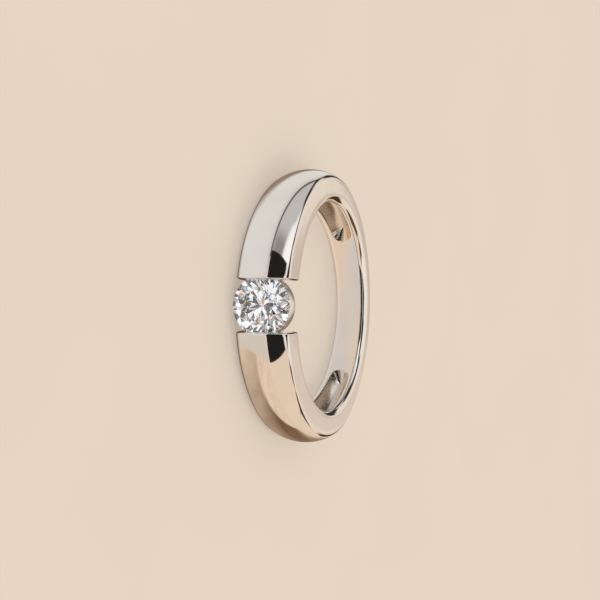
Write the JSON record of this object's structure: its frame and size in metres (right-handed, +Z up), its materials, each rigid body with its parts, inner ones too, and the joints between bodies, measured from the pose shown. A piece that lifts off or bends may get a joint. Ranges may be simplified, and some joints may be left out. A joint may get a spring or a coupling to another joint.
{
  "type": "tension set ring",
  "caption": "Domed finger ring, wider and thicker towards the stone, with a round brilliant stone gripped between the ends of its shoulders.",
  "frame": {"origin": "centre of the finger hole, at the middle of the band's width", "axes": "+Z up out of the surface that the ring lies on, -Y towards the stone, X across both shoulders; the finger hole leans back from +Z by about 2.9 degrees, because the lying ring rests on its stone and on the back of its lower side face"},
  "size_m": [0.0222, 0.0222, 0.0047],
  "materials": {
    "band": "polished white gold",
    "stone": "colourless, facets polished"
  },
  "bodies": {
    "root": {"band": "band", "stone": "stone"}
  },
  "joints": []
}
